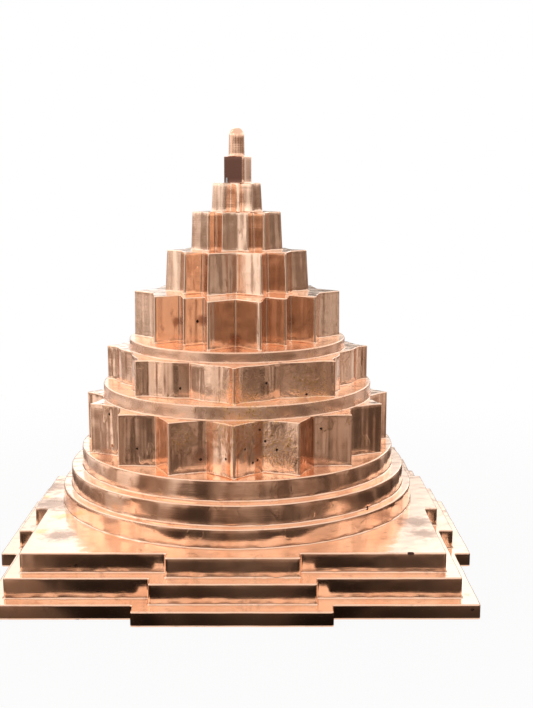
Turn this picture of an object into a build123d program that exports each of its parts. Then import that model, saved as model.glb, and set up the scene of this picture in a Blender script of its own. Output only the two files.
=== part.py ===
from build123d import *
import os

# A stepped ritual mountain of solid copper tiers, stood on one another.
# Millimetres, +Z up, origin at the middle of the underside.
# The front is -Y. The long axis of every star tier runs along X.

os.makedirs("parts", exist_ok=True)

# Square base: three plates, each with one gate on each of its four sides
lower_plate_side = 152.0
lower_plate_thickness = 4.7
lower_gate_width = 61.4
lower_gate_reach = 5.5
middle_plate_side = 142.2
middle_plate_thickness = 6.7
middle_gate_width = 51.8
middle_gate_reach = 5.0
upper_plate_side = 133.5
upper_plate_thickness = 6.5
upper_gate_width = 42.1
upper_gate_reach = 4.4
plate_corner_radius = 0.8

# Three plain girdle rings above the base
lower_girdle_radius = 63.6
lower_girdle_height = 6.5
middle_girdle_radius = 60.6
middle_girdle_height = 6.9
upper_girdle_radius = 56.6
upper_girdle_height = 6.9

# Sixteen-petal lotus. A petal side runs from its tip, in a hollow curve, to a
# shoulder, and from there, in a swelling curve, to the crease beside it.
# The tip radius is where the two sides would meet before the tip is eased.
sixteen_petals = 16
sixteen_height = 17.6
sixteen_tip_radius = 55.3
sixteen_tip_angle = 72.0
sixteen_shoulder_radius = 50.6
sixteen_shoulder_width = 9.0
sixteen_crease_radius = 47.5
petal_ease_radius = 0.5

# Eight-petal lotus, on a thin seat ring
eight_seat_radius = 48.5
eight_seat_height = 4.9
eight_petals = 8
eight_height = 12.3
eight_tip_radius = 48.5
eight_tip_angle = 24.0
eight_shoulder_radius = 42.8
eight_shoulder_width = 10.4
eight_crease_radius = 39.3

# Star tiers, on a second thin seat ring
star_seat_radius = 39.0
star_seat_height = 3.7
fourteen_height = 16.4
fourteen_draft = 0.35
ten_outer_height = 14.7
ten_outer_draft = 1.9
ten_inner_height = 13.7
ten_inner_draft = 1.7
star_eight_height = 10.1
star_eight_draft = 2.6

# Half outlines of the stars at their feet, from the left end to the right one:
# points and notches in turn, each as (place along X, reach out from the X axis)
fourteen_outline = [
    (-37.4, 0),
    (-30.0, 7.2),
    (-28.2, 20.0),
    (-19.6, 14.4),
    (-18.0, 24.5),
    (-10.8, 20.5),
    (-9.2, 35.7),
    (0, 27.0),
    (8.8, 36.0),
    (10.3, 20.7),
    (17.4, 26.1),
    (18.9, 13.8),
    (27.6, 20.0),
    (29.6, 6.9),
    (37.4, 0),
]
ten_outer_outline = [
    (-26.2, 0),
    (-20.2, 4.8),
    (-18.3, 13.3),
    (-12.0, 8.8),
    (-9.9, 18.8),
    (0, 12.5),
    (9.3, 19.1),
    (11.1, 9.0),
    (17.9, 12.7),
    (19.9, 4.5),
    (26.2, 0),
]
ten_inner_outline = [
    (-16.6, 0),
    (-13.0, 3.6),
    (-10.0, 8.5),
    (-7.2, 5.8),
    (-5.0, 10.8),
    (0.2, 8.3),
    (4.3, 10.9),
    (6.0, 6.0),
    (10.3, 8.7),
    (11.8, 4.0),
    (16.6, 0),
]
star_eight_outline = [
    (-9.2, 0),
    (-7.4, 2.2),
    (-5.1, 5.9),
    (-2.1, 4.4),
    (0.9, 8.5),
    (2.0, 5.9),
    (5.5, 7.3),
    (6.4, 3.6),
    (9.2, 0),
]
star_point_radius = 0.5

# Innermost triangle and the drop at its centre
triangle_height = 9.3
triangle_circumradius = 6.4
triangle_turn = 164.0
triangle_offset = 0.9
triangle_corner_radius = 0.8
bindu_foot_radius = 2.85
bindu_shoulder_radius = 2.7
bindu_shoulder_height = 7.2
bindu_height = 10.1
bindu_crown_radius = 0.3
bindu_dome_swell = 0.42

# Rounding of the top rims
rim_radius = 0.4
fine_rim_radius = 0.25

# Tie rod, nut and washer that clamp the stack up to the fourteen-point star
rod_radius = 3.0
rod_bore_clearance = 0.1
rod_screwed_depth = 9.0
rod_end_gap = 0.5
rod_stand_out = 1.0
washer_radius = 6.0
washer_thickness = 1.6
nut_across_flats = 10.0
nut_height = 5.0
nut_chamfer = 0.4
nut_pocket_radius = 7.5
rod_end_recess = 0.8
thread_clearance = 0.05
thread_lead_in = 0.4

# Stud that holds the small tiers and takes the bindu
stud_radius = 1.5
stud_screwed_depth = 5.0
stud_end_gap = 0.3
stud_depth_in_bindu = 5.5
stud_lead_in = 0.2

# One dowel in each joint keeps the tiers from turning on one another
dowel_clearance = 0.05
dowel_end_gap = 0.2
dowel_chamfer = 0.2
ring_dowel_radius = 1.5
ring_dowel_length = 5.0
girdle_dowel_place = 40.0
lotus_dowel_place = 32.0
star_seat_dowel_place = 24.0
star_dowel_radius = 0.9
star_dowel_length = 5.0
ten_outer_dowel_place = 15.0
ten_inner_dowel_place = 10.0
star_eight_dowel_place = 5.6
pin_dowel_radius = 0.5
pin_dowel_length = 4.0
triangle_dowel_place = 3.4

# Four countersunk screws hold the three base plates together
screw_radius = 2.0
screw_head_radius = 4.0
screw_head_depth = 2.2
screw_length = 15.0
screw_recess = 0.3
screw_hole_clearance = 0.2
screw_end_gap = 0.6
screw_spacing = 104.0
screw_socket_width = 2.5
screw_socket_depth = 1.2

# Heights of the joints, from the ground up
middle_plate_foot = lower_plate_thickness
upper_plate_foot = middle_plate_foot + middle_plate_thickness
lower_girdle_foot = upper_plate_foot + upper_plate_thickness
middle_girdle_foot = lower_girdle_foot + lower_girdle_height
upper_girdle_foot = middle_girdle_foot + middle_girdle_height
sixteen_foot = upper_girdle_foot + upper_girdle_height
eight_seat_foot = sixteen_foot + sixteen_height
eight_foot = eight_seat_foot + eight_seat_height
star_seat_foot = eight_foot + eight_height
fourteen_foot = star_seat_foot + star_seat_height
ten_outer_foot = fourteen_foot + fourteen_height
ten_inner_foot = ten_outer_foot + ten_outer_height
star_eight_foot = ten_inner_foot + ten_inner_height
triangle_foot = star_eight_foot + star_eight_height
bindu_foot = triangle_foot + triangle_height

# Places of the hidden fixings, worked out from the joints
washer_top = rod_end_recess + rod_stand_out + nut_height + washer_thickness
rod_top = fourteen_foot + rod_screwed_depth
stud_foot = ten_outer_foot - stud_screwed_depth
stud_top = bindu_foot + stud_depth_in_bindu
rod_bore_radius = rod_radius + rod_bore_clearance
stud_bore_radius = stud_radius + rod_bore_clearance
screw_hole_radius = screw_radius + screw_hole_clearance
upright = (Align.CENTER, Align.CENTER, Align.MIN)
same_place = 0.01

# Each joint's dowel: height of the joint, place along X, radius and length
joint_dowels = {
    "lower_girdle": (lower_girdle_foot, girdle_dowel_place, ring_dowel_radius, ring_dowel_length),
    "middle_girdle": (middle_girdle_foot, -girdle_dowel_place, ring_dowel_radius, ring_dowel_length),
    "upper_girdle": (upper_girdle_foot, girdle_dowel_place, ring_dowel_radius, ring_dowel_length),
    "sixteen": (sixteen_foot, -girdle_dowel_place, ring_dowel_radius, ring_dowel_length),
    "eight_seat": (eight_seat_foot, lotus_dowel_place, ring_dowel_radius, ring_dowel_length),
    "eight": (eight_foot, -lotus_dowel_place, ring_dowel_radius, ring_dowel_length),
    "star_seat": (star_seat_foot, star_seat_dowel_place, ring_dowel_radius, ring_dowel_length),
    "fourteen": (fourteen_foot, -star_seat_dowel_place, ring_dowel_radius, ring_dowel_length),
    "ten_outer": (ten_outer_foot, ten_outer_dowel_place, star_dowel_radius, star_dowel_length),
    "ten_inner": (ten_inner_foot, -ten_inner_dowel_place, star_dowel_radius, star_dowel_length),
    "star_eight": (star_eight_foot, star_eight_dowel_place, star_dowel_radius, star_dowel_length),
    "triangle": (triangle_foot, -triangle_dowel_place, pin_dowel_radius, pin_dowel_length),
}


# Outlines


def plate_outline(foot, side, gate_width, gate_reach):
    """A square with a gate standing out of the middle of each side."""
    with BuildSketch(Plane.XY.offset(foot)) as outline:
        Rectangle(side, side)
        Rectangle(gate_width, side + 2 * gate_reach)
        Rectangle(side + 2 * gate_reach, gate_width)
        fillet(outline.vertices(), plate_corner_radius)
    return outline.sketch


def on_shoulder(corner, shoulder_radius, shoulder_width):
    """Whether a corner of a lotus outline is one where two curves run smoothly on."""
    reach = Vector(shoulder_radius, shoulder_width / 2).length
    return abs(Vector(corner.X, corner.Y).length - reach) < same_place


def lotus_outline(foot, petals, tip_radius, tip_angle, shoulder_radius, shoulder_width, crease_radius):
    """A ring of pointed petals, one of them at the front."""
    pitch = 360 / petals
    with BuildSketch(Plane.XY.offset(foot)) as outline:
        with BuildLine():
            for petal in range(petals):
                heading = -90 + petal * pitch
                tip = Vector(tip_radius, 0).rotate(Axis.Z, heading)
                for side in (-1, 1):
                    inward = Vector(-1, 0).rotate(Axis.Z, heading - side * tip_angle / 2)
                    shoulder = Vector(shoulder_radius, side * shoulder_width / 2).rotate(Axis.Z, heading)
                    crease = Vector(crease_radius, 0).rotate(Axis.Z, heading + side * pitch / 2)
                    hollow = TangentArc(tip, shoulder, tangent=inward)
                    TangentArc(shoulder, crease, tangent=hollow % 1)
        make_face()
        corners = outline.vertices()
        shoulders = corners.filter_by(lambda corner: on_shoulder(corner, shoulder_radius, shoulder_width))
        fillet(corners - shoulders, petal_ease_radius)
    return outline.sketch


def star_outline(foot, half_outline):
    """A star mirrored about the X axis."""
    with BuildSketch(Plane.XY.offset(foot)) as outline:
        with BuildLine():
            Polyline(half_outline)
            mirror(about=Plane.XZ)
        make_face()
    return outline.sketch


# Features that repeat from tier to tier


def round_rim(tier, radius):
    """Ease the outline edges of a tier's top face, before it is drilled."""
    fillet(tier.faces().sort_by(Axis.Z)[-1].edges(), radius)


def lean_walls(star, foot, draft_angle):
    """Lean a star's walls inwards from its foot, and ease its points and notches."""
    draft(star.faces().filter_by(Axis.Z, reverse=True), Plane.XY.offset(foot), draft_angle)
    wall_edges = star.edges().group_by(Axis.Z)[1]
    fillet(wall_edges, star_point_radius)


def bore(radius, foot, top):
    """Cut an upright hole on the axis, from one height to another."""
    with Locations((0, 0, foot)):
        Cylinder(radius, top - foot, align=upright, mode=Mode.SUBTRACT)


def dowel_socket(joint, opens):
    """Cut half of a joint's dowel hole: above the joint, or below it."""
    height, place, radius, length = joint_dowels[joint]
    depth = length / 2 + dowel_end_gap
    middle = height + depth / 2 if opens == "above" else height - depth / 2
    with Locations((place, 0, middle)):
        Cylinder(radius + dowel_clearance, depth, mode=Mode.SUBTRACT)


# Base plates

with BuildPart() as base_plate_lower:
    extrude(plate_outline(0, lower_plate_side, lower_gate_width, lower_gate_reach), lower_plate_thickness)
    round_rim(base_plate_lower, rim_radius)
    bore(nut_pocket_radius, 0, lower_plate_thickness)
    with GridLocations(screw_spacing, screw_spacing, 2, 2):
        Cylinder(screw_hole_radius, lower_plate_thickness, align=upright, mode=Mode.SUBTRACT)
        Cylinder(screw_head_radius + screw_hole_clearance, screw_recess, align=upright, mode=Mode.SUBTRACT)
    with Locations((0, 0, screw_recess)):
        with GridLocations(screw_spacing, screw_spacing, 2, 2):
            Cone(
                screw_head_radius + screw_hole_clearance,
                screw_hole_radius,
                screw_head_depth,
                align=upright,
                mode=Mode.SUBTRACT,
            )
base_plate_lower.part.label = "base_plate_lower"
export_step(base_plate_lower.part, "parts/base_plate_lower.step")

with BuildPart() as base_plate_middle:
    extrude(
        plate_outline(middle_plate_foot, middle_plate_side, middle_gate_width, middle_gate_reach),
        middle_plate_thickness,
    )
    round_rim(base_plate_middle, rim_radius)
    bore(nut_pocket_radius, middle_plate_foot, washer_top)
    bore(rod_bore_radius, washer_top, upper_plate_foot)
    with Locations((0, 0, middle_plate_foot)):
        with GridLocations(screw_spacing, screw_spacing, 2, 2):
            Cylinder(screw_hole_radius, middle_plate_thickness, align=upright, mode=Mode.SUBTRACT)
base_plate_middle.part.label = "base_plate_middle"
export_step(base_plate_middle.part, "parts/base_plate_middle.step")

screw_top = screw_recess + screw_length
with BuildPart() as base_plate_upper:
    extrude(
        plate_outline(upper_plate_foot, upper_plate_side, upper_gate_width, upper_gate_reach),
        upper_plate_thickness,
    )
    round_rim(base_plate_upper, rim_radius)
    bore(rod_bore_radius, upper_plate_foot, lower_girdle_foot)
    dowel_socket("lower_girdle", "below")
    with Locations((0, 0, upper_plate_foot)):
        with GridLocations(screw_spacing, screw_spacing, 2, 2):
            Cylinder(
                screw_radius + thread_clearance,
                screw_top + screw_end_gap - upper_plate_foot,
                align=upright,
                mode=Mode.SUBTRACT,
            )
base_plate_upper.part.label = "base_plate_upper"
export_step(base_plate_upper.part, "parts/base_plate_upper.step")

with BuildPart() as base_screws:
    with Locations((0, 0, screw_recess)):
        with GridLocations(screw_spacing, screw_spacing, 2, 2):
            Cone(screw_head_radius, screw_radius, screw_head_depth, align=upright)
            Cylinder(screw_radius, screw_length, align=upright)
    chamfer(base_screws.faces().group_by(Axis.Z)[-1].edges(), thread_lead_in)
    with BuildSketch(Plane.XY.offset(screw_recess)):
        with GridLocations(screw_spacing, screw_spacing, 2, 2):
            RegularPolygon(screw_socket_width / 2, 6, major_radius=False)
    extrude(amount=screw_socket_depth, mode=Mode.SUBTRACT)
base_screws.part.label = "base_screws"
export_step(base_screws.part, "parts/base_screws.step")

# Girdle rings

with BuildPart() as girdle_ring_lower:
    with Locations((0, 0, lower_girdle_foot)):
        Cylinder(lower_girdle_radius, lower_girdle_height, align=upright)
    round_rim(girdle_ring_lower, rim_radius)
    bore(rod_bore_radius, lower_girdle_foot, middle_girdle_foot)
    dowel_socket("lower_girdle", "above")
    dowel_socket("middle_girdle", "below")
girdle_ring_lower.part.label = "girdle_ring_lower"
export_step(girdle_ring_lower.part, "parts/girdle_ring_lower.step")

with BuildPart() as girdle_ring_middle:
    with Locations((0, 0, middle_girdle_foot)):
        Cylinder(middle_girdle_radius, middle_girdle_height, align=upright)
    round_rim(girdle_ring_middle, rim_radius)
    bore(rod_bore_radius, middle_girdle_foot, upper_girdle_foot)
    dowel_socket("middle_girdle", "above")
    dowel_socket("upper_girdle", "below")
girdle_ring_middle.part.label = "girdle_ring_middle"
export_step(girdle_ring_middle.part, "parts/girdle_ring_middle.step")

with BuildPart() as girdle_ring_upper:
    with Locations((0, 0, upper_girdle_foot)):
        Cylinder(upper_girdle_radius, upper_girdle_height, align=upright)
    round_rim(girdle_ring_upper, rim_radius)
    bore(rod_bore_radius, upper_girdle_foot, sixteen_foot)
    dowel_socket("upper_girdle", "above")
    dowel_socket("sixteen", "below")
girdle_ring_upper.part.label = "girdle_ring_upper"
export_step(girdle_ring_upper.part, "parts/girdle_ring_upper.step")

# Lotuses and the thin rings that carry the tiers above them

with BuildPart() as lotus_sixteen:
    extrude(
        lotus_outline(
            sixteen_foot,
            sixteen_petals,
            sixteen_tip_radius,
            sixteen_tip_angle,
            sixteen_shoulder_radius,
            sixteen_shoulder_width,
            sixteen_crease_radius,
        ),
        sixteen_height,
    )
    round_rim(lotus_sixteen, fine_rim_radius)
    bore(rod_bore_radius, sixteen_foot, eight_seat_foot)
    dowel_socket("sixteen", "above")
    dowel_socket("eight_seat", "below")
lotus_sixteen.part.label = "lotus_sixteen"
export_step(lotus_sixteen.part, "parts/lotus_sixteen.step")

with BuildPart() as seat_ring_eight:
    with Locations((0, 0, eight_seat_foot)):
        Cylinder(eight_seat_radius, eight_seat_height, align=upright)
    round_rim(seat_ring_eight, rim_radius)
    bore(rod_bore_radius, eight_seat_foot, eight_foot)
    dowel_socket("eight_seat", "above")
    dowel_socket("eight", "below")
seat_ring_eight.part.label = "seat_ring_eight"
export_step(seat_ring_eight.part, "parts/seat_ring_eight.step")

with BuildPart() as lotus_eight:
    extrude(
        lotus_outline(
            eight_foot,
            eight_petals,
            eight_tip_radius,
            eight_tip_angle,
            eight_shoulder_radius,
            eight_shoulder_width,
            eight_crease_radius,
        ),
        eight_height,
    )
    round_rim(lotus_eight, fine_rim_radius)
    bore(rod_bore_radius, eight_foot, star_seat_foot)
    dowel_socket("eight", "above")
    dowel_socket("star_seat", "below")
lotus_eight.part.label = "lotus_eight"
export_step(lotus_eight.part, "parts/lotus_eight.step")

with BuildPart() as seat_ring_star:
    with Locations((0, 0, star_seat_foot)):
        Cylinder(star_seat_radius, star_seat_height, align=upright)
    round_rim(seat_ring_star, rim_radius)
    bore(rod_bore_radius, star_seat_foot, fourteen_foot)
    dowel_socket("star_seat", "above")
    dowel_socket("fourteen", "below")
seat_ring_star.part.label = "seat_ring_star"
export_step(seat_ring_star.part, "parts/seat_ring_star.step")

# Star tiers

with BuildPart() as star_fourteen:
    extrude(star_outline(fourteen_foot, fourteen_outline), fourteen_height)
    lean_walls(star_fourteen, fourteen_foot, fourteen_draft)
    round_rim(star_fourteen, fine_rim_radius)
    bore(rod_radius + thread_clearance, fourteen_foot, rod_top + rod_end_gap)
    bore(stud_radius + thread_clearance, stud_foot - stud_end_gap, ten_outer_foot)
    dowel_socket("fourteen", "above")
    dowel_socket("ten_outer", "below")
star_fourteen.part.label = "star_fourteen"
export_step(star_fourteen.part, "parts/star_fourteen.step")

with BuildPart() as star_ten_outer:
    extrude(star_outline(ten_outer_foot, ten_outer_outline), ten_outer_height)
    lean_walls(star_ten_outer, ten_outer_foot, ten_outer_draft)
    round_rim(star_ten_outer, fine_rim_radius)
    bore(stud_bore_radius, ten_outer_foot, ten_inner_foot)
    dowel_socket("ten_outer", "above")
    dowel_socket("ten_inner", "below")
star_ten_outer.part.label = "star_ten_outer"
export_step(star_ten_outer.part, "parts/star_ten_outer.step")

with BuildPart() as star_ten_inner:
    extrude(star_outline(ten_inner_foot, ten_inner_outline), ten_inner_height)
    lean_walls(star_ten_inner, ten_inner_foot, ten_inner_draft)
    round_rim(star_ten_inner, fine_rim_radius)
    bore(stud_bore_radius, ten_inner_foot, star_eight_foot)
    dowel_socket("ten_inner", "above")
    dowel_socket("star_eight", "below")
star_ten_inner.part.label = "star_ten_inner"
export_step(star_ten_inner.part, "parts/star_ten_inner.step")

with BuildPart() as star_eight:
    extrude(star_outline(star_eight_foot, star_eight_outline), star_eight_height)
    lean_walls(star_eight, star_eight_foot, star_eight_draft)
    round_rim(star_eight, fine_rim_radius)
    bore(stud_bore_radius, star_eight_foot, triangle_foot)
    dowel_socket("star_eight", "above")
    dowel_socket("triangle", "below")
star_eight.part.label = "star_eight"
export_step(star_eight.part, "parts/star_eight.step")

# Triangle and bindu

with BuildPart() as triangle_block:
    with BuildSketch(Plane.XY.offset(triangle_foot)) as triangle:
        with Locations((triangle_offset, 0)):
            RegularPolygon(triangle_circumradius, 3, rotation=triangle_turn)
        fillet(triangle.vertices(), triangle_corner_radius)
    extrude(amount=triangle_height)
    round_rim(triangle_block, fine_rim_radius)
    bore(stud_bore_radius, triangle_foot, bindu_foot)
    dowel_socket("triangle", "above")
triangle_block.part.label = "triangle_block"
export_step(triangle_block.part, "parts/triangle_block.step")

with BuildPart() as bindu_finial:
    with BuildSketch(Plane.XZ):
        with BuildLine():
            foot_line = Line((0, bindu_foot), (bindu_foot_radius, bindu_foot))
            wall = Line(foot_line @ 1, (bindu_shoulder_radius, bindu_foot + bindu_shoulder_height))
            dome = SagittaArc(wall @ 1, (bindu_crown_radius, bindu_foot + bindu_height), -bindu_dome_swell)
            crown = Line(dome @ 1, (0, bindu_foot + bindu_height))
            Line(crown @ 1, foot_line @ 0)
        make_face()
    revolve(axis=Axis.Z)
    bore(stud_radius + thread_clearance, bindu_foot, stud_top + stud_end_gap)
bindu_finial.part.label = "bindu_finial"
export_step(bindu_finial.part, "parts/bindu_finial.step")

# Hidden fixings

with BuildPart() as tie_rod:
    with Locations((0, 0, rod_end_recess)):
        Cylinder(rod_radius, rod_top - rod_end_recess, align=upright)
    chamfer(tie_rod.edges().filter_by(GeomType.CIRCLE), thread_lead_in)
tie_rod.part.label = "tie_rod"
export_step(tie_rod.part, "parts/tie_rod.step")

nut_foot = rod_end_recess + rod_stand_out
with BuildPart() as rod_nut:
    with BuildSketch(Plane.XY.offset(nut_foot)):
        RegularPolygon(nut_across_flats / 2, 6, major_radius=False)
    extrude(amount=nut_height)
    chamfer(rod_nut.edges().filter_by(GeomType.LINE).group_by(Axis.Z)[0], nut_chamfer)
    bore(rod_radius + thread_clearance, nut_foot, nut_foot + nut_height)
rod_nut.part.label = "rod_nut"
export_step(rod_nut.part, "parts/rod_nut.step")

with BuildPart() as rod_washer:
    with Locations((0, 0, washer_top - washer_thickness)):
        Cylinder(washer_radius, washer_thickness, align=upright)
    bore(rod_bore_radius, washer_top - washer_thickness, washer_top)
rod_washer.part.label = "rod_washer"
export_step(rod_washer.part, "parts/rod_washer.step")

with BuildPart() as top_stud:
    with Locations((0, 0, stud_foot)):
        Cylinder(stud_radius, stud_top - stud_foot, align=upright)
    chamfer(top_stud.edges().filter_by(GeomType.CIRCLE), stud_lead_in)
top_stud.part.label = "top_stud"
export_step(top_stud.part, "parts/top_stud.step")

with BuildPart() as locating_dowels:
    for height, place, radius, length in joint_dowels.values():
        with Locations((place, 0, height - length / 2 - dowel_end_gap)):
            Cylinder(radius, length, align=upright)
    chamfer(locating_dowels.edges().filter_by(GeomType.CIRCLE), dowel_chamfer)
locating_dowels.part.label = "locating_dowels"
export_step(locating_dowels.part, "parts/locating_dowels.step")
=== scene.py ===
"""The looks of a stepped copper mountain: hand-finished tiers, a camera and a plain studio."""

import math

import bmesh
import bpy
from mathutils import Matrix, Vector, noise


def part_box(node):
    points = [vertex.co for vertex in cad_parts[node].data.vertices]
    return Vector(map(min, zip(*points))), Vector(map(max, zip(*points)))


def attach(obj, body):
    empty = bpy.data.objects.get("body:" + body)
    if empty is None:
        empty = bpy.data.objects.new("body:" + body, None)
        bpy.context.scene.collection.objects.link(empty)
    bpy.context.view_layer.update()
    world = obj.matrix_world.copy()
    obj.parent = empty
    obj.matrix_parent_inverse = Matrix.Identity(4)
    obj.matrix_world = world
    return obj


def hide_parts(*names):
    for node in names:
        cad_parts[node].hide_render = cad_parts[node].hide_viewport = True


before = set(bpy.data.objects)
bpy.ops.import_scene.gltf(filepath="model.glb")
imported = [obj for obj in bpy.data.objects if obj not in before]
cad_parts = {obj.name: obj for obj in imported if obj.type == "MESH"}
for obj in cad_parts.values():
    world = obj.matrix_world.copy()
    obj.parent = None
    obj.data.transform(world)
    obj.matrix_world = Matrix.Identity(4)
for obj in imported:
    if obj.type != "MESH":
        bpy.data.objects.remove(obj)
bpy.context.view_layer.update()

# Lengths below are in millimetres in the part's frame, and become metres where a mesh is made
MM = 0.001

# Square base
lower_plate_side = 152.0
lower_gate_width = 61.4
lower_gate_reach = 5.5
middle_plate_side = 142.2
middle_gate_width = 51.8
middle_gate_reach = 5.0
upper_plate_side = 133.5
upper_gate_width = 42.1
upper_gate_reach = 4.4
plate_corner_radius = 0.8

# Round tiers
lower_girdle_radius = 63.6
middle_girdle_radius = 60.6
upper_girdle_radius = 56.6
eight_seat_radius = 48.5
star_seat_radius = 39.0

# Lotus tiers: tips, hollow sides, shoulders and creases
sixteen_petals = 16
sixteen_tip_radius = 55.3
sixteen_tip_angle = 72.0
sixteen_shoulder_radius = 50.6
sixteen_shoulder_width = 9.0
sixteen_crease_radius = 47.5
eight_petals = 8
eight_tip_radius = 48.5
eight_tip_angle = 24.0
eight_shoulder_radius = 42.8
eight_shoulder_width = 10.4
eight_crease_radius = 39.3
petal_tip_ease = 0.5
petal_crease_ease = 0.55

# Star tiers: half outlines from the left end to the right, as (place along X, reach out)
fourteen_outline = [
    (-37.4, 0),
    (-30.0, 7.2),
    (-28.2, 20.0),
    (-19.6, 14.4),
    (-18.0, 24.5),
    (-10.8, 20.5),
    (-9.2, 35.7),
    (0, 27.0),
    (8.8, 36.0),
    (10.3, 20.7),
    (17.4, 26.1),
    (18.9, 13.8),
    (27.6, 20.0),
    (29.6, 6.9),
    (37.4, 0),
]
ten_outer_outline = [
    (-26.2, 0),
    (-20.2, 4.8),
    (-18.3, 13.3),
    (-12.0, 8.8),
    (-9.9, 18.8),
    (0, 12.5),
    (9.3, 19.1),
    (11.1, 9.0),
    (17.9, 12.7),
    (19.9, 4.5),
    (26.2, 0),
]
ten_inner_outline = [
    (-16.6, 0),
    (-13.0, 3.6),
    (-10.0, 8.5),
    (-7.2, 5.8),
    (-5.0, 10.8),
    (0.2, 8.3),
    (4.3, 10.9),
    (6.0, 6.0),
    (10.3, 8.7),
    (11.8, 4.0),
    (16.6, 0),
]
star_eight_outline = [
    (-9.2, 0),
    (-7.4, 2.2),
    (-5.1, 5.9),
    (-2.1, 4.4),
    (0.9, 8.5),
    (2.0, 5.9),
    (5.5, 7.3),
    (6.4, 3.6),
    (9.2, 0),
]
fourteen_draft = 0.35
ten_outer_draft = 1.9
ten_inner_draft = 1.7
star_eight_draft = 2.6
star_point_radius = 0.5

# Triangle and bindu
triangle_circumradius = 6.4
triangle_turn = 164.0
triangle_offset = 0.9
triangle_corner_radius = 0.8
bindu_foot_radius = 2.85
bindu_shoulder_radius = 2.7
bindu_shoulder_height = 7.2

# Pits and nicks left in the casting, each as (bearing, height above the foot, half width, half height).
# A bearing is told round the axis: 0 is the front, 90 the right
upper_plate_pits = [(-36.5, 2.4, 0.5, 0.5), (39.8, 6.4, 1.1, 0.6)]
lower_plate_pits = [(44.0, 3.1, 0.5, 0.4)]
middle_girdle_pits = [(47, 0.4, 0.6, 0.4)]
upper_girdle_pits = [(19, 3.4, 0.15, 1.3)]
sixteen_pits = [
    (-61, 14.5, 0.4, 0.5),
    (-60, 3, 0.5, 0.6),
    (-40, 6, 0.4, 0.4),
    (-13, 4.5, 0.5, 0.5),
    (-3, 6, 0.4, 0.5),
    (10, 14.5, 0.5, 0.4),
    (12, 10.5, 0.4, 0.5),
    (4, 9, 0.35, 0.4),
    (7, 4, 0.5, 0.4),
    (9, 4.5, 0.4, 0.4),
    (16, 8, 0.4, 0.5),
    (36, 13, 0.5, 0.4),
]
eight_pits = [(-27, 3.5, 0.4, 0.5), (14, 6, 0.5, 0.5), (34, 1.2, 0.5, 0.4), (52, 1.5, 0.5, 0.5)]
fourteen_pits = [(-31, 8, 0.5, 0.6)]
ten_outer_pits = [(-47, 9.5, 0.35, 0.4), (25, 7.5, 0.35, 0.4)]
triangle_pits = [(109, 1.8, 0.3, 0.3)]

# Rounding of the rims, and the small bead left at the foot of every tier
rim_radius = 0.5
fine_rim_radius = 0.35
cove_radius = 0.5
tier_cove_radius = 0.45
seam_band = 0.12
bead_length = 3.0

# Bores on the axis, and the screw holes and nut pocket under the base
rod_bore_radius = 3.1
stud_bore_radius = 1.6
nut_pocket_radius = 7.5
screw_hole_radius = 2.2
screw_head_hole_radius = 4.2
screw_head_depth = 2.2
screw_recess = 0.3
screw_place = 52.0

# How finely walls are cut, and how far hand filing leaves them from true
wall_step = 0.6
height_step = 1.2
bend_steps = 5
petal_hollow_steps = 14
petal_swell_steps = 12
bore_steps = 48
post_steps = 72
filing_depth = 0.1
filing_length = 6.0
fine_filing_length = 2.2
fine_filing_height = 18.0
fine_filing_share = 0.25
post_filing_share = 0.6
no_cove = 0.0001
sharp_edge_angle = math.radians(40)

# Set apart the unevenness of one piece from that of the next
coarse_filing_shift = 7.3
fine_filing_shift = 3.1
bead_shift = 5.1
post_number = 3


# Outlines, as lists of (x, y, outward normal x, outward normal y), anticlockwise


def bend(centre, radius, start, end, swells, steps):
    """Points along an arc; start and end are the directions of its outward normals in radians."""
    points = []
    for step in range(steps + 1):
        angle = start + (end - start) * step / steps
        normal = Vector((math.cos(angle), math.sin(angle)))
        point = centre + normal * (radius if swells else -radius)
        points.append((point.x, point.y, normal.x, normal.y))
    return points


def polygon_outline(corners, radius, inset=0.0):
    """A polygon drawn in by an inset, with its corners eased to a radius and its sides divided."""
    corners = [Vector(corner) for corner in corners]
    count = len(corners)
    runs = [corners[(i + 1) % count] - corners[i] for i in range(count)]
    normals = [Vector((run.y, -run.x)).normalized() for run in runs]
    points = []
    for i in range(count):
        before, after = normals[i - 1], normals[i]
        reach = (before + after) / (1 + before.dot(after))
        turn = math.atan2(before.cross(after), before.dot(after))
        swells = turn > 0
        corner = corners[i] - reach * inset
        centre = corner - reach * (radius if swells else -radius)
        start = math.atan2(before.y, before.x)
        arc = bend(centre, radius, start, start + turn, swells, bend_steps)
        if points:
            points += divided(points[-1], arc[0], runs[i - 1].length)
        points += arc
    points += divided(points[-1], points[0], runs[-1].length)
    return points


def divided(first, last, length):
    """The points between two ends of a straight side."""
    steps = max(2, round(length / wall_step))
    x0, y0, nx, ny = first
    x1, y1 = last[:2]
    return [
        (x0 + (x1 - x0) * step / steps, y0 + (y1 - y0) * step / steps, nx, ny)
        for step in range(1, steps)
    ]


def circle_outline(radius, centre=(0.0, 0.0), steps=None):
    """A round outline."""
    steps = steps or round(math.tau * radius / wall_step)
    points = []
    for step in range(steps):
        angle = math.tau * step / steps
        nx, ny = math.cos(angle), math.sin(angle)
        points.append((centre[0] + radius * nx, centre[1] + radius * ny, nx, ny))
    return points


def arc_from_tangent(start, tangent, end):
    """Centre and radius of the arc that leaves start along a tangent and passes through end."""
    chord = end - start
    across = Vector((-tangent.y, tangent.x))
    radius = chord.length_squared / (2 * chord.dot(across))
    return start + across * radius, abs(radius)


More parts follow.
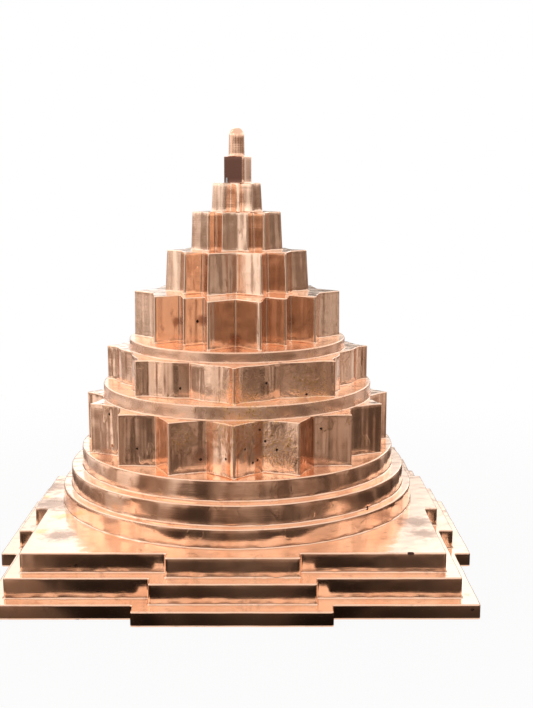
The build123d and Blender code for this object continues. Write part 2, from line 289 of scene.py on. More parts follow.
def lotus_outline(petals, tip_radius, tip_angle, shoulder_radius, shoulder_width, crease_radius):
    """A ring of pointed petals, one of them at the front."""
    pitch = math.tau / petals
    inward = math.radians(180 - tip_angle / 2)
    tip = Vector((tip_radius, 0))
    shoulder = Vector((shoulder_radius, shoulder_width / 2))
    crease = Vector((math.cos(pitch / 2), math.sin(pitch / 2))) * crease_radius
    tangent = Vector((math.cos(inward), math.sin(inward)))
    hollow, hollow_radius = arc_from_tangent(tip, tangent, shoulder)
    outward = (hollow - shoulder).normalized()
    swell, swell_radius = arc_from_tangent(shoulder, Vector((-outward.y, outward.x)), crease)
    swells = (swell - shoulder).dot(outward) < 0

    # Tip eased by a small arc that touches both hollow sides
    tip_reach = math.sqrt((hollow_radius + petal_tip_ease) ** 2 - hollow.y**2)
    tip_centre = Vector((hollow.x - tip_reach, 0))
    if tip_centre.x < 0 or abs(tip_centre.x - tip_radius) > tip_radius / 2:
        tip_centre.x = 2 * hollow.x - tip_centre.x
    tip_normal = angle_of(hollow - tip_centre)

    # Crease eased by a small hollow arc on the line between two petals
    along = crease.normalized()
    reach = swell_radius + petal_crease_ease * (1 if swells else -1)
    foot = swell.dot(along)
    apart = (swell - along * foot).length
    swing = math.sqrt(max(reach * reach - apart * apart, 0))
    crease_place = min((foot + swing, foot - swing), key=lambda place: abs(place - crease_radius))
    crease_centre = along * crease_place
    crease_normal = angle_of(crease_centre - swell) if swells else angle_of(swell - crease_centre)
    shoulder_normal = angle_of(outward)

    half = bend(tip_centre, petal_tip_ease, 0, tip_normal, True, bend_steps)
    half += bend(hollow, hollow_radius, tip_normal, shoulder_normal, False, petal_hollow_steps)[1:]
    half += bend(swell, swell_radius, shoulder_normal, crease_normal, swells, petal_swell_steps)[1:]
    half += bend(crease_centre, petal_crease_ease, crease_normal, pitch / 2, False, bend_steps)[1:]

    points = []
    for petal in range(petals):
        heading = -math.pi / 2 + petal * pitch
        mirrored = [(x, -y, nx, -ny) for x, y, nx, ny in reversed(half[1:-1])]
        for x, y, nx, ny in mirrored + half:
            points.append((*turned(x, y, heading), *turned(nx, ny, heading)))
    return points


def angle_of(direction):
    return math.atan2(direction.y, direction.x)


def turned(x, y, angle):
    """A point turned about the axis."""
    cosine, sine = math.cos(angle), math.sin(angle)
    return x * cosine - y * sine, x * sine + y * cosine


def plate_corners(side, gate_width, gate_reach):
    """Corners of a square with a gate standing out of each side."""
    edge, gate, reach = side / 2, gate_width / 2, side / 2 + gate_reach
    quarter = [(-edge, -edge), (-gate, -edge), (-gate, -reach), (gate, -reach), (gate, -edge)]
    return [turned(x, y, quarter_turn * math.pi / 2) for quarter_turn in range(4) for x, y in quarter]


def star_corners(half_outline):
    """Corners of a star mirrored about the X axis, starting at its left end, by the front."""
    front = [(x, -reach) for x, reach in half_outline]
    back = [(x, reach) for x, reach in reversed(half_outline[1:-1])]
    return front + back


# Tiers


def filed(x, y, z, number):
    """How far hand filing leaves a wall proud of true at a place, in millimetres."""
    coarse_height = z / (filing_length * 5) + number * coarse_filing_shift
    fine_height = z / fine_filing_height + number * fine_filing_shift
    coarse = Vector((x / filing_length, y / filing_length, coarse_height))
    fine = Vector((x / fine_filing_length, y / fine_filing_length, fine_height))
    return filing_depth * (noise.noise(coarse) + fine_filing_share * noise.noise(fine))


def bead(x, y, number):
    """How full the bead at a tier's foot is at a place, from about a half to one and a half."""
    return 1 + noise.noise(Vector((x / bead_length, y / bead_length, number * bead_shift)))


def wall_levels(low, high, rim, cove, draft):
    """Levels of a tier's wall from its foot to its top: (height, inset, lean). The foot swells out."""
    levels = []
    for step in range(5):
        angle = math.pi / 2 * step / 4
        levels.append((low + cove * (1 - math.cos(angle)), -cove * (1 - math.sin(angle)), 0.0))
    steps = max(2, round((high - low - cove - rim) / height_step))
    lean = math.tan(math.radians(draft))
    for step in range(1, steps + 1):
        height = low + cove + (high - rim - low - cove) * step / steps
        levels.append((height, 0.0, (height - low) * lean))
    for step in range(1, 6):
        angle = math.pi / 2 * step / 5
        height = high - rim * (1 - math.sin(angle))
        levels.append((height, rim * (1 - math.cos(angle)), (height - low) * lean))
    levels.append((high, rim + seam_band, (high - low) * lean))
    return levels


def ring_of_verts(mesh, points):
    return [mesh.verts.new((x * MM, y * MM, z * MM)) for x, y, z in points]


def join_rings(mesh, lower, upper, smooth=True):
    """Faces between two rings with the same number of points."""
    count = len(lower)
    for i in range(count):
        j = (i + 1) % count
        face = mesh.faces.new((lower[i], lower[j], upper[j], upper[i]))
        face.smooth = smooth


def fill_between(mesh, rings):
    """A flat face between an outer ring and the holes in it."""
    edges = []
    for ring in rings:
        for i, vert in enumerate(ring):
            edges.append(mesh.edges.get((vert, ring[i - 1])) or mesh.edges.new((vert, ring[i - 1])))
    bmesh.ops.triangle_fill(mesh, use_beauty=True, use_dissolve=False, edges=edges)


def tier(name, node, outline_at, rim, finish, draft=0.0, cove=cove_radius, holes=(), hollows=()):
    """A solid tier with a rounded rim, a bead at its foot and walls filed by hand.
    outline_at gives the outline for a lean; a hole is (centre, levels of (height, radius));
    a hollow is (bearing, height above the foot, half width, half height) of a pit in the wall."""
    low, high = (corner.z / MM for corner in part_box(node))
    number = list(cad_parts).index(node)
    mesh = bmesh.new()
    rings = []
    for height, inset, lean in wall_levels(low, high, rim, cove, draft):
        points = []
        for x, y, nx, ny in outline_at(lean):
            if inset < 0:
                inset_here = max(inset * bead(x, y, number), -cove)
            else:
                inset_here = inset
            proud = filed(x, y, height, number) - inset_here
            points.append((x + nx * proud, y + ny * proud, height))
        rings.append(ring_of_verts(mesh, points))
    for lower, upper in zip(rings, rings[1:]):
        join_rings(mesh, lower, upper)
    bottoms, tops = [rings[0]], [rings[-1]]
    for centre, hole_levels in holes:
        hole_rings = []
        for height, radius in hole_levels:
            circle = circle_outline(radius, centre, bore_steps)
            hole_rings.append(ring_of_verts(mesh, [(x, y, height) for x, y, nx, ny in circle]))
        for lower, upper in zip(hole_rings, hole_rings[1:]):
            join_rings(mesh, upper, lower, smooth=False)
        bottoms.append(hole_rings[0])
        tops.append(hole_rings[-1])
    fill_between(mesh, bottoms)
    fill_between(mesh, tops)
    bmesh.ops.recalc_face_normals(mesh, faces=mesh.faces)
    piece = placed(name, node, mesh, finish)
    if hollows:
        outline = outline_at(0.0)
        places = []
        for bearing, height, wide, tall in hollows:
            places.append((wall_place(outline, bearing, low + height), wide, tall))
        cut_hollows(piece, places)
    return piece


def wall_place(outline, bearing, height):
    """The place on an outline at a bearing round the axis, where 0 is the front and 90 the right."""
    wanted = Vector((math.sin(math.radians(bearing)), -math.cos(math.radians(bearing))))
    x, y = max((point[:2] for point in outline), key=lambda place: Vector(place).normalized().dot(wanted))
    return (x, y, height)


def cut_hollows(piece, hollows):
    """Cuts small rounded pits out of a piece; a pit is (place, half width, half height)."""
    mesh = bmesh.new()
    for place, wide, tall in hollows:
        made = bmesh.ops.create_icosphere(mesh, subdivisions=2, radius=1.0)
        for vert in made["verts"]:
            uneven = 1 + 0.25 * noise.noise(vert.co * 1.7 + Vector(place))
            vert.co = Vector((vert.co.x * wide, vert.co.y * wide, vert.co.z * tall)) * uneven * MM
            vert.co += Vector(place) * MM
    for face in mesh.faces:
        face.smooth = True
    data = bpy.data.meshes.new("pits")
    mesh.to_mesh(data)
    mesh.free()
    # The pits' own faces take this finish, with its painted shade
    data.materials.append(pit_finish)
    cutter = bpy.data.objects.new("pits", data)
    bpy.context.scene.collection.objects.link(cutter)
    cut = piece.modifiers.new("pits", "BOOLEAN")
    cut.operation = "DIFFERENCE"
    cut.solver = "EXACT"
    cut.material_mode = "TRANSFER"
    cut.object = cutter
    bpy.context.view_layer.update()
    result = bpy.data.meshes.new_from_object(piece.evaluated_get(bpy.context.evaluated_depsgraph_get()))
    piece.modifiers.remove(cut)
    bpy.data.objects.remove(cutter)
    bpy.data.meshes.remove(data)
    mesh = bmesh.new()
    mesh.from_mesh(result)
    for edge in mesh.edges:
        edge.smooth = edge.calc_face_angle(0.0) < sharp_edge_angle
    mesh.to_mesh(result)
    mesh.free()
    result.name = piece.name
    piece.data = result


def placed(name, node, mesh, finish):
    """Puts a finished mesh in place of its node."""
    data = bpy.data.meshes.new(name)
    mesh.to_mesh(data)
    mesh.free()
    piece = bpy.data.objects.new(name, data)
    bpy.context.scene.collection.objects.link(piece)
    piece.data.materials.append(finish)
    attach(piece, "root")
    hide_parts(node)
    return piece


def bindu(name, node, finish):
    """The round post with its domed top, turned about the axis."""
    low, high = (corner.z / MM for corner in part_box(node))
    shoulder = low + bindu_shoulder_height
    profile = []
    for step in range(5):
        angle = math.pi / 2 * step / 4
        cove = fine_rim_radius
        profile.append((bindu_foot_radius + cove * (1 - math.sin(angle)), low + cove * (1 - math.cos(angle))))
    for step in range(1, 9):
        share = step / 8
        radius = bindu_foot_radius + (bindu_shoulder_radius - bindu_foot_radius) * share
        profile.append((radius, low + cove + (shoulder - low - cove) * share))
    for step in range(1, 12):
        angle = math.pi / 2 * step / 12
        profile.append(
            (bindu_shoulder_radius * math.cos(angle), shoulder + (high - shoulder) * math.sin(angle))
        )
    mesh = bmesh.new()
    rings = []
    for radius, height in profile:
        points = []
        for x, y, nx, ny in circle_outline(radius, steps=post_steps):
            proud = filed(x, y, height, post_number) * post_filing_share
            points.append((x + nx * proud, y + ny * proud, height))
        rings.append(ring_of_verts(mesh, points))
    for lower, upper in zip(rings, rings[1:]):
        join_rings(mesh, lower, upper)
    crown = mesh.verts.new((0, 0, high * MM))
    for i, vert in enumerate(rings[-1]):
        face = mesh.faces.new((rings[-1][i - 1], vert, crown))
        face.smooth = True
    fill_between(mesh, [rings[0]])
    bmesh.ops.recalc_face_normals(mesh, faces=mesh.faces)
    return placed(name, node, mesh, finish)


# Shader sums


class Signal:
    """A socket of a material. Numbers are added, multiplied and so on with plain operators."""

    def __init__(self, finish, socket):
        self.finish = finish
        self.socket = socket

    def sum(self, operation, first, second=0.0):
        return self.finish.node("ShaderNodeMath", {"operation": operation}, {0: first, 1: second})

    def __add__(self, other):
        return self.sum("ADD", self, other)

    __radd__ = __add__

    def __sub__(self, other):
        return self.sum("SUBTRACT", self, other)

    def __rsub__(self, other):
        return self.sum("SUBTRACT", other, self)

    def __mul__(self, other):
        return self.sum("MULTIPLY", self, other)

    __rmul__ = __mul__

    def __truediv__(self, other):
        return self.sum("DIVIDE", self, other)

    def __pow__(self, other):
        return self.sum("POWER", self, other)

    def at_most(self, other):
        return self.sum("MINIMUM", self, other)

    def at_least(self, other):
        return self.sum("MAXIMUM", self, other)

    def step_between(self, low, high):
        """0 below low, 1 above high, and a smooth rise between them."""
        return self.finish.node(
            "ShaderNodeMapRange",
            {"interpolation_type": "SMOOTHSTEP"},
            {"Value": self, "From Min": low, "From Max": high},
        )


class Finish:
    """A material or a world that is being made, with one method for every kind of node."""

    def __init__(self, name, world=None):
        self.material = world or bpy.data.materials.new(name)
        self.material.use_nodes = True
        self.tree = self.material.node_tree
        self.tree.nodes.clear()

    def node(self, kind, settings=None, sockets=None, output=0):
        """Adds a node, sets it up, feeds its sockets and returns one of its outputs."""
        made = self.tree.nodes.new(kind)
        for name, value in (settings or {}).items():
            if name == "stops":
                self.set_stops(made.color_ramp, value)
            else:
                setattr(made, name, value)
        for name, value in (sockets or {}).items():
            if isinstance(value, Signal):
                self.tree.links.new(value.socket, made.inputs[name])
            else:
                made.inputs[name].default_value = value
        return Signal(self, made.outputs[output]) if made.outputs else None

    @staticmethod
    def set_stops(ramp, stops):
        """Gives a ramp its stops, each as (place from 0 to 1, grey level)."""
        ramp.interpolation = "EASE"
        while len(ramp.elements) > 1:
            ramp.elements.remove(ramp.elements[-1])
        for number, (place, level) in enumerate(stops):
            element = ramp.elements[0] if number == 0 else ramp.elements.new(place)
            element.position = place
            element.color = (level, level, level, 1)

    def place(self):
        """Where a point of the surface is, in metres in the part's frame."""
        return self.node("ShaderNodeTexCoord", output="Object")

    def stretched(self, x, y, z):
        """The place, measured in steps of so many millimetres along each axis."""
        scale = (1 / (x * MM), 1 / (y * MM), 1 / (z * MM))
        sockets = {"Vector": self.place(), "Scale": scale}
        return self.node("ShaderNodeMapping", {"vector_type": "POINT"}, sockets)

    def cloud(self, x, y, z, detail=2.0, roughness=0.5):
        """Soft noise from 0 to 1, with patches of so many millimetres along each axis."""
        return self.node(
            "ShaderNodeTexNoise",
            {"noise_dimensions": "3D"},
            {"Vector": self.stretched(x, y, z), "Scale": 1.0, "Detail": detail, "Roughness": roughness},
            output="Fac",
        )

    def around(self, spot, radius):
        """1 near a spot given in millimetres, falling raggedly to 0 at about a radius from it."""
        centre = tuple(length * MM for length in spot)
        apart = self.node(
            "ShaderNodeVectorMath", {"operation": "DISTANCE"}, {0: self.place(), 1: centre}, output="Value"
        )
        ragged = apart / (radius * MM) + self.cloud(2.5, 2.5, 2.5, detail=4)
        return 1 - ragged.step_between(0.7, 1.4)

    def patches(self, spots):
        """The spots (place, radius) taken together."""
        total = None
        for spot, radius in spots:
            patch = self.around(spot, radius)
            total = patch if total is None else total.at_least(patch)
        return total

    def facing(self, direction):
        """How squarely the surface faces a direction, from -1 to 1."""
        return self.node(
            "ShaderNodeVectorMath",
            {"operation": "DOT_PRODUCT"},
            {0: self.node("ShaderNodeTexCoord", output="Normal"), 1: direction},
            output="Value",
        )

    def blended(self, share, first, second):
        """One colour turning into another."""
        return self.node(
            "ShaderNodeMix", {"data_type": "RGBA"}, {0: share, 6: first, 7: second}, output=2
        )

    def raised(self, height, distance, below=None):
        """A bumped normal from a height of 0 to 1 over a distance in millimetres."""
        sockets = {"Height": height, "Distance": distance * MM, "Strength": 1.0}
        if below:
            sockets["Normal"] = below
        return self.node("ShaderNodeBump", None, sockets)

    def metal(self, colour, roughness, normal):
        """Ends the material as a bare metal."""
        shader = self.node(
            "ShaderNodeBsdfPrincipled",
            None,
            {"Base Color": colour, "Roughness": roughness, "Metallic": 1.0, "Normal": normal},
        )
        self.node("ShaderNodeOutputMaterial", None, {"Surface": shader})
        return self.material


# Finishes

copper_bright = (0.95, 0.60, 0.42, 1)
copper_deep = (0.90, 0.51, 0.33, 1)
copper_stain = (0.33, 0.12, 0.06, 1)
copper_oxide = (0.42, 0.27, 0.20, 1)
copper_gold = (0.95, 0.56, 0.27, 1)
# Pale copper: the walls' own paler tone, and the colour of the painted highlight on level tops
copper_pale_and_top_highlight = (0.93, 0.70, 0.54, 1)
# How far the painted highlight turns level tops pale
top_highlight_share = 0.8
copper_plum = (0.15, 0.068, 0.048, 1)
# Near black, used only for the painted shade inside the pits
copper_pit_shade = (0.05, 0.028, 0.022, 1)
steel_bright = (0.52, 0.51, 0.50, 1)
steel_dull = (0.33, 0.32, 0.31, 1)

# Spots of the finish, each as (place, radius) in millimetres
base_oxide_spots = [
    ((-66, -16, 17.9), 12),
    ((-70, 5, 17.9), 9),
    ((-57, -50, 17.9), 9),
    ((61, -36, 17.9), 10),
    ((62, -48, 17.9), 8),
]
base_gold_spots = [((-70.5, -7.5, 17.9), 4), ((-64, -46, 17.9), 4), ((-60, -30, 17.9), 5)]
lotus_crust_spots = [
    ((-17, -48, 50), 7),
    ((15, -47, 47), 11),
    ((38, -33, 50), 7),
    ((25, -34, 64), 12),
    ((3, -48.5, 58), 18),
]
lotus_stain_spots = [((-45, -22, 39), 5), ((29, -40, 39), 5), ((-12, -46, 44), 5)]
star_stain_spots = [
    ((-12, -21, 85), 3.0),
    ((18, -14, 84), 3.5),
    ((-21, -15, 84), 2.5),
    ((0, -27, 79), 4.0),
]


def polished_copper(name, roughness, marks, stains, skin, spots, pale_walls=0.0, streaks=0.0):
    """Hand-polished copper, with a painted highlight that makes its level tops paler. marks and streaks
    are the depths in millimetres of the tool marks along the walls and of the upright waves in them.
    stains and skin say how much shows of the faint stains and of the rough casting skin, pale_walls how
    pale the walls are, and spots where stain, casting skin, oxide and gold colour lie."""
    finish = Finish(name)
    tone = finish.cloud(9, 9, 14, detail=3)
    stain = finish.cloud(5, 5, 8, detail=4, roughness=0.62).step_between(0.58, 0.74) * stains
    crust = finish.cloud(6, 6, 9, detail=2).step_between(0.60, 0.66) * skin
    speckle = finish.cloud(0.8, 0.8, 1.3, detail=3, roughness=0.7)
    if "stain" in spots:
        stain = stain.at_least(finish.patches(spots["stain"]) * 0.6)
    if "crust" in spots:
        crust = crust.at_least(finish.patches(spots["crust"]))
    colour = finish.blended(tone.step_between(0.3, 0.75), copper_bright, copper_deep)
    # Painted highlight: faces that look up are blended towards pale copper, as if lit from above
    painted_top_highlight = finish.facing((0, 0, 1)).step_between(0.6, 0.95)
    colour = finish.blended((painted_top_highlight * top_highlight_share).at_least(pale_walls), colour, copper_pale_and_top_highlight)
    if "gold" in spots:
        colour = finish.blended(finish.patches(spots["gold"]), colour, copper_gold)
    colour = finish.blended(stain, colour, copper_stain)
    rough = roughness + 0.10 * finish.cloud(14, 14, 3, detail=3) + 0.25 * stain + 0.12 * crust
    if "oxide" in spots:
        oxide = finish.patches(spots["oxide"])
        colour = finish.blended(oxide * 0.8, colour, copper_oxide)
        rough = rough + 0.12 * oxide
    colour = finish.blended(crust * speckle.step_between(0.50, 0.56), colour, copper_gold)
    colour = finish.blended(crust * speckle.step_between(0.62, 0.68), colour, copper_stain)
    lines = finish.cloud(7, 7, 0.35, detail=3, roughness=0.6)
    waves = finish.cloud(7, 7, 7, detail=1)
    normal = finish.raised(waves, 0.22)
    if streaks:
        normal = finish.raised(finish.cloud(3.2, 3.2, 45, detail=1), streaks, normal)
    normal = finish.raised(lines, marks, normal)
    normal = finish.raised(crust * speckle, 0.22, normal)
    return finish.metal(colour, rough, normal)


def tarnished_copper(name, dark_direction):
    """Copper left to darken on the face that looks one way, and worn clean on the others."""
    finish = Finish(name)
    tone = finish.cloud(2.5, 2.5, 3, detail=4)
    worn = finish.cloud(1.2, 1.2, 5, detail=3)
    colour = finish.blended(tone, copper_bright, copper_deep)
    dark = (finish.facing(dark_direction) + 0.12 * (worn - 0.5)).step_between(0.72, 0.88)
    colour = finish.blended(dark, colour, copper_plum)
    lines = finish.cloud(3, 3, 0.3, detail=3)
    return finish.metal(colour, 0.18 + 0.15 * dark, finish.raised(lines, 0.012))


def shaded_pit(name):
    """Painted shade inside a casting pit: dark plum to near black, dull and rough."""
    finish = Finish(name)
    tone = finish.cloud(0.4, 0.4, 0.4, detail=2)
    colour = finish.blended(tone, copper_plum, copper_pit_shade)
    return finish.metal(colour, 0.5 + 0.2 * tone, finish.raised(tone, 0.03))


def turned_steel(name):
    """Plain steel of the hidden fixings, with fine turning marks."""
    finish = Finish(name)
    tone = finish.cloud(2, 2, 2, detail=2)
    colour = finish.blended(tone, steel_bright, steel_dull)
    lines = finish.cloud(3, 3, 0.12, detail=2)
    return finish.metal(colour, 0.28 + 0.12 * tone, finish.raised(lines, 0.01))


base_spots = {"oxide": base_oxide_spots, "gold": base_gold_spots}
seat_spots = {"crust": lotus_crust_spots}
lotus_spots = {"crust": lotus_crust_spots, "stain": lotus_stain_spots}
star_spots = {"stain": star_stain_spots}
base_finish = polished_copper("base_copper", 0.09, 0.010, 0.3, 0.1, base_spots, 0.1)
girdle_finish = polished_copper("girdle_copper", 0.09, 0.012, 0.35, 0.2, {})
lotus_finish = polished_copper("lotus_copper", 0.10, 0.010, 0.4, 0.35, lotus_spots, 0.1, 0.35)
seat_finish = polished_copper("seat_copper", 0.20, 0.014, 0.4, 0.3, seat_spots)
bindu_finish = polished_copper("bindu_copper", 0.06, 0.006, 0.2, 0.0, {})
pit_finish = shaded_pit("pit_copper")
star_finish = polished_copper("star_copper", 0.10, 0.014, 0.5, 0.1, star_spots, 0.4, 0.25)
triangle_front = math.radians(triangle_turn + 60)
dark_side = (math.cos(triangle_front), math.sin(triangle_front), 0)
triangle_finish = tarnished_copper("triangle_copper", dark_side)
steel_finish = turned_steel("fixing_steel")

# Pieces, from the ground up


def plate_at(side, gate_width, gate_reach):
    corners = plate_corners(side, gate_width, gate_reach)
    return lambda lean: polygon_outline(corners, plate_corner_radius, lean)


def star_at(half_outline):
    corners = star_corners(half_outline)
    return lambda lean: polygon_outline(corners, star_point_radius, lean)


def always(outline):
    return lambda lean: outline


def through(node, radius):
    """A bore on the axis, right through a node."""
    low, high = (corner.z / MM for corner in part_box(node))
    return ((0.0, 0.0), [(low, radius), (high, radius)])


screw_places = [(x * screw_place, y * screw_place) for x in (-1, 1) for y in (-1, 1)]
plate_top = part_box("base_plate_lower")[1].z / MM
screw_hole = [
    (0, screw_head_hole_radius),
    (screw_recess, screw_head_hole_radius),
    (screw_recess + screw_head_depth, screw_hole_radius),
    (plate_top, screw_hole_radius),
]
tier(
    "plinth_lower",
    "base_plate_lower",
    plate_at(lower_plate_side, lower_gate_width, lower_gate_reach),
    rim_radius,
    base_finish,
    cove=no_cove,
    holes=[((0.0, 0.0), [(0, nut_pocket_radius), (plate_top, nut_pocket_radius)])]
    + [(place, screw_hole) for place in screw_places],
    hollows=lower_plate_pits,
)
washer_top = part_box("rod_washer")[1].z / MM
middle_low, middle_high = (corner.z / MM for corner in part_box("base_plate_middle"))
tier(
    "plinth_middle",
    "base_plate_middle",
    plate_at(middle_plate_side, middle_gate_width, middle_gate_reach),
    rim_radius,
    base_finish,
    holes=[
        (
            (0.0, 0.0),
            [
                (middle_low, nut_pocket_radius),
                (washer_top, nut_pocket_radius),
                (washer_top, rod_bore_radius),
                (middle_high, rod_bore_radius),
            ],
        )
    ],
)
tier(
    "plinth_upper",
    "base_plate_upper",
    plate_at(upper_plate_side, upper_gate_width, upper_gate_reach),
    rim_radius,
    base_finish,
    holes=[through("base_plate_upper", rod_bore_radius)],
    hollows=upper_plate_pits,
)


def round_tier(name, node, radius, finish, pits=()):
    """A plain round plate with the rod's bore."""
    outline = always(circle_outline(radius))
    bores = [through(node, rod_bore_radius)]
    tier(name, node, outline, rim_radius, finish, holes=bores, hollows=pits)


for name, radius, pits in (
    ("lower", lower_girdle_radius, ()),
    ("middle", middle_girdle_radius, middle_girdle_pits),
    ("upper", upper_girdle_radius, upper_girdle_pits),
):
    round_tier(f"girdle_{name}", f"girdle_ring_{name}", radius, girdle_finish, pits)
for name, radius in (("eight", eight_seat_radius), ("star", star_seat_radius)):
    round_tier(f"seat_{name}", f"seat_ring_{name}", radius, seat_finish)
sixteen_outline = lotus_outline(
    sixteen_petals,
    sixteen_tip_radius,
    sixteen_tip_angle,
    sixteen_shoulder_radius,
    sixteen_shoulder_width,
    sixteen_crease_radius,
)
eight_outline = lotus_outline(
    eight_petals,
    eight_tip_radius,
    eight_tip_angle,
    eight_shoulder_radius,
    eight_shoulder_width,
    eight_crease_radius,
)
for name, node, outline, pits in (
    ("petals_sixteen", "lotus_sixteen", sixteen_outline, sixteen_pits),
    ("petals_eight", "lotus_eight", eight_outline, eight_pits),
):
    tier(
        name,
        node,
        always(outline),
        fine_rim_radius,
        lotus_finish,
        cove=tier_cove_radius,
        holes=[through(node, rod_bore_radius)],
        hollows=pits,
    )
for name, node, half_outline, draft, bore, pits in (
    ("fourteen", "star_fourteen", fourteen_outline, fourteen_draft, rod_bore_radius, fourteen_pits),
    ("ten_outer", "star_ten_outer", ten_outer_outline, ten_outer_draft, stud_bore_radius, ten_outer_pits),
    ("ten_inner", "star_ten_inner", ten_inner_outline, ten_inner_draft, stud_bore_radius, ()),
    ("eight", "star_eight", star_eight_outline, star_eight_draft, stud_bore_radius, ()),
):
    tier(
        f"star_points_{name}",
        node,
        star_at(half_outline),
        fine_rim_radius,
        star_finish,
        draft=draft,
        cove=tier_cove_radius,
        holes=[through(node, bore)],
        hollows=pits,
    )
triangle_corners = [
    (
        triangle_offset + triangle_circumradius * math.cos(math.radians(triangle_turn + 120 * corner)),
        triangle_circumradius * math.sin(math.radians(triangle_turn + 120 * corner)),
    )
    for corner in range(3)
]
tier(
    "triangle",
    "triangle_block",
    lambda lean: polygon_outline(triangle_corners, triangle_corner_radius, lean),
    fine_rim_radius,
    triangle_finish,
    cove=fine_rim_radius,
    holes=[through("triangle_block", stud_bore_radius)],
    hollows=triangle_pits,
)
bindu("bindu", "bindu_finial", bindu_finish)

for node in ("tie_rod", "rod_nut", "rod_washer", "base_screws", "top_stud", "locating_dowels"):
    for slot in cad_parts[node].material_slots:
        slot.link = "OBJECT"
        slot.material = steel_finish

# Camera, at the photograph's viewing angle

focal_pixels = 1066.6
image_height_pixels = 708
sensor_width = 36.0
camera_place = Vector((9.1, -384.8, 133.3))
camera_yaw = 0.23
camera_pitch = -9.37
camera_roll = 0.05


def camera_turn(yaw, pitch, roll):
    """The camera's axes from its heading off +Y, its tilt above the horizon and its roll."""
    yaw, pitch, roll = (math.radians(angle) for angle in (yaw, pitch, roll))
    ahead = Vector((math.sin(yaw) * math.cos(pitch), math.cos(yaw) * math.cos(pitch), math.sin(pitch)))
    right = Vector((math.cos(yaw), -math.sin(yaw), 0))
    up = right.cross(ahead)
    level_right = math.cos(roll) * right + math.sin(roll) * up
    level_up = -math.sin(roll) * right + math.cos(roll) * up
    return Matrix((level_right, level_up, -ahead)).transposed()


camera_data = bpy.data.cameras.new("camera")
camera_data.sensor_width = sensor_width
camera_data.lens = focal_pixels * sensor_width / image_height_pixels
camera_data.clip_start = 0.01
camera = bpy.data.objects.new("camera", camera_data)
camera.matrix_world = Matrix.Translation(camera_place * MM) @ camera_turn(
    camera_yaw, camera_pitch, camera_roll
).to_4x4()
bpy.context.scene.collection.objects.link(camera)
bpy.context.scene.camera = camera

# Studio: a pale floor, a white surround, soft lamps and dark flags that the metal reflects


def stage_floor(half, material):
    """The square floor of the studio, from its half side in metres."""
    corners = [(-half, -half, 0), (half, -half, 0), (half, half, 0), (-half, half, 0)]
    data = bpy.data.meshes.new("floor")
    data.from_pydata(corners, [], [(0, 1, 2, 3)])
    floor = bpy.data.objects.new("floor", data)
    floor.data.materials.append(material)
    bpy.context.scene.collection.objects.link(floor)


def backdrop_share(finish, share):
    """Where the camera, gloss or glass looks straight at a white surface."""
    camera_ray = finish.node("ShaderNodeLightPath", output="Is Camera Ray")
    glossy_ray = finish.node("ShaderNodeLightPath", output="Is Glossy Ray")
    glass_ray = finish.node("ShaderNodeLightPath", output="Is Transmission Ray")
    return (camera_ray + glossy_ray + glass_ray).at_most(1.0) * share


def pale_floor():
    """White paper that keeps the object's shadow and fades into the white surround."""
    finish = Finish("pale_floor")
    paper = finish.node("ShaderNodeBsdfDiffuse", None, {"Color": (0.9, 0.9, 0.9, 1)})
    white = finish.node("ShaderNodeEmission", None, {"Color": (1, 1, 1, 1), "Strength": 1.0})
    away = finish.node("ShaderNodeVectorMath", {"operation": "LENGTH"}, {0: finish.place()}, output="Value")
    share = 0.92 + 0.08 * away.step_between(0.1, 0.3)
    shares = {0: backdrop_share(finish, share), 1: paper, 2: white}
    mixed = finish.node("ShaderNodeMixShader", None, shares)
    finish.node("ShaderNodeOutputMaterial", None, {"Surface": mixed})
    return finish.material


def bearing_level(finish, bands):
    """A grey level by bearing round the object, where 0 is the front and 90 the right.
    A band is (bearing, level)."""
    across = finish.node("ShaderNodeSeparateXYZ", None, {0: finish.place()}, output="X")
    along = finish.node("ShaderNodeSeparateXYZ", None, {0: finish.place()}, output="Y")
    turn = across.sum("ARCTAN2", across, 0.0 - along) / math.tau + 0.5
    stops = [(bearing / 360 + 0.5, level) for bearing, level in bands]
    return finish.node("ShaderNodeValToRGB", {"stops": stops}, {"Fac": turn}, output="Color")


def streak_level(finish, reach):
    """Uneven upright streaks round the object, which drift slowly with the reach in metres."""
    flat = finish.node(
        "ShaderNodeVectorMath", {"operation": "MULTIPLY"}, {0: finish.place(), 1: (1, 1, 0)}
    )
    bearing = finish.node("ShaderNodeVectorMath", {"operation": "NORMALIZE"}, {0: flat})
    drift = finish.node("ShaderNodeCombineXYZ", None, {"Z": reach * streak_drift})
    spread = finish.node(
        "ShaderNodeVectorMath",
        {"operation": "MULTIPLY_ADD"},
        {0: bearing, 1: (streak_count, streak_count, 0), 2: drift},
    )
    fog = finish.node(
        "ShaderNodeTexNoise",
        {"noise_dimensions": "3D"},
        {"Vector": spread, "Scale": 1.0, "Detail": 1.0, "Roughness": 0.5},
        output="Fac",
    )
    return streak_low + (streak_high - streak_low) * fog.step_between(*streak_edges)


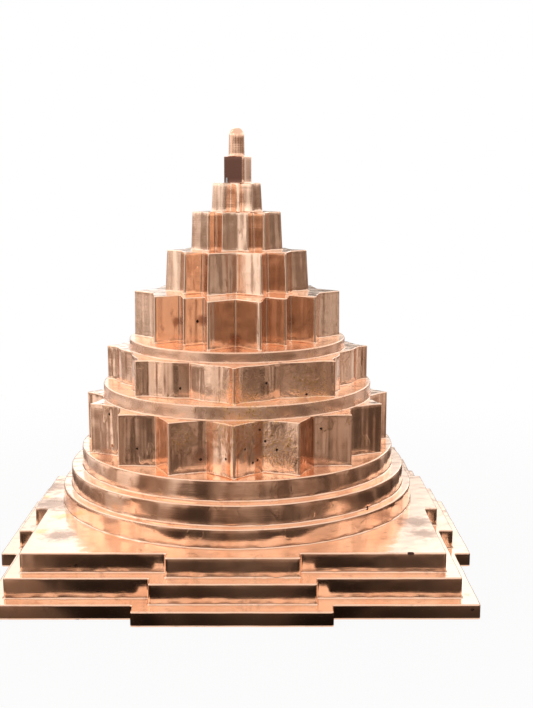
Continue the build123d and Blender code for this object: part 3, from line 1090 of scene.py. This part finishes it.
def flag_cloth(name, upright):
    """Cloth of a flag: a room that is darker to the front than to the sides, with soft streaks.
    The low flag carries a painted shadow of the object near its foot, and the upright flag is lighter towards
    its top."""
    finish = Finish(name)
    room = bearing_level(finish, room_bands)
    if upright:
        reach = finish.node("ShaderNodeSeparateXYZ", None, {0: finish.place()}, output="Z")
        window = reach.step_between(*window_sill) * window_level
        level = room * streak_level(finish, reach) + window
    else:
        reach = finish.node(
            "ShaderNodeVectorMath", {"operation": "LENGTH"}, {0: finish.place()}, output="Value"
        )
        # Painted shadow of the object on the low flag, darkest at its foot and fading outwards
        clear = foot_shadow_level + (1 - foot_shadow_level) * reach.step_between(*foot_shade)
        level = room * clear * streak_level(finish, reach)
    shade = level.at_most(1.0) ** dark_depth * level.at_least(1.0)
    warmth = level.at_least(warmest_level).at_most(1.0)
    green = shade * warmth**green_fall
    blue = shade * warmth**blue_fall
    colour = finish.node("ShaderNodeCombineColor", None, {"Red": shade, "Green": green, "Blue": blue})
    cloth = finish.node("ShaderNodeEmission", None, {"Color": colour, "Strength": 1.0})
    finish.node("ShaderNodeOutputMaterial", None, {"Surface": cloth})
    return finish.material


floor_half = 6.0
stage_floor(floor_half, pale_floor())

# Flags, seen only in the metal: one on the floor round the object and one standing round it.
# They stand in for a plain room with a window on the left. Lengths are in metres, and a pair is
# where a change starts and where it has fully come in
flag_start = 0.01
flag_distance = 0.9
flag_height = 0.60
flag_lift = 0.0004
room_bands = [(-180, 0.75), (-60, 0.95), (-20, 0.45), (45, 0.38), (100, 0.65), (180, 0.75)]
# Painted shadow of the object on the low flag: its level at the foot, and where it fades out
foot_shadow_level = 0.12
foot_shade = (0.07, 0.21)
window_level = 0.8
window_sill = (0.20, 0.27)
streak_count = 4.0
streak_drift = 3.0
streak_edges = (0.36, 0.64)
streak_low = 0.36
streak_high = 1.35

# How much deeper and warmer the cloth is where it is dark
dark_depth = 1.25
warmest_level = 0.35
green_fall = 0.25
blue_fall = 0.45


def curved_flag(name, start, end, edges, cloth):
    """A flag round the object from one bearing to another, between two edges (distance, height).
    A bearing of 0 is the front and 90 the right."""
    steps = round(abs(end - start) / 5)
    places = []
    for step in range(steps + 1):
        bearing = math.radians(start + (end - start) * step / steps)
        for distance, height in edges:
            places.append((math.sin(bearing) * distance, -math.cos(bearing) * distance, height))
    faces = [(2 * i, 2 * i + 2, 2 * i + 3, 2 * i + 1) for i in range(steps)]
    data = bpy.data.meshes.new(name)
    data.from_pydata(places, [], faces)
    flag = bpy.data.objects.new(name, data)
    flag.data.materials.append(cloth)
    bpy.context.scene.collection.objects.link(flag)
    flag.visible_camera = False
    flag.visible_diffuse = False
    flag.visible_shadow = False


low_cloth = flag_cloth("low_flag_cloth", False)
upright_cloth = flag_cloth("upright_flag_cloth", True)
curved_flag("flag_low", -180, 180, [(flag_start, flag_lift), (flag_distance, flag_lift)], low_cloth)
curved_flag("flag_upright", -180, 180, [(flag_distance, 0.0), (flag_distance, flag_height)], upright_cloth)


def soft_lamp(name, place, aim, size, glow):
    """A square lamp whose face shows as bright as its glow; 1 is white."""
    data = bpy.data.lights.new(name, "AREA")
    data.shape = "SQUARE"
    data.size = size
    data.energy = glow * math.pi * size * size
    lamp = bpy.data.objects.new(name, data)
    lamp.location = place
    lamp.rotation_euler = (Vector(aim) - Vector(place)).to_track_quat("-Z", "Y").to_euler()
    bpy.context.scene.collection.objects.link(lamp)
    return lamp


lamp_top = soft_lamp("lamp_top", (-0.3, 0.3, 1.5), (0, 0, 0.05), 1.2, 0.7)
lamp_top.visible_glossy = False
soft_lamp("lamp_back", (-0.25, 1.2, 1.3), (0, 0, 0.1), 0.9, 0.8)
soft_lamp("lamp_left", (-1.2, 0.4, 1.25), (0, 0, 0.05), 0.8, 0.8)

world = bpy.data.worlds.new("surround")
bpy.context.scene.world = world
surround = Finish("surround", world)
soft_light = surround.node("ShaderNodeBackground", None, {"Color": (1, 1, 1, 1), "Strength": 0.55})
white_wall = surround.node("ShaderNodeBackground", None, {"Color": (1, 1, 1, 1), "Strength": 1.0})
shares = {0: backdrop_share(surround, 1.0), 1: soft_light, 2: white_wall}
seen = surround.node("ShaderNodeMixShader", None, shares)
surround.node("ShaderNodeOutputWorld", None, {"Surface": seen})

bpy.context.scene.view_settings.view_transform = "Standard"
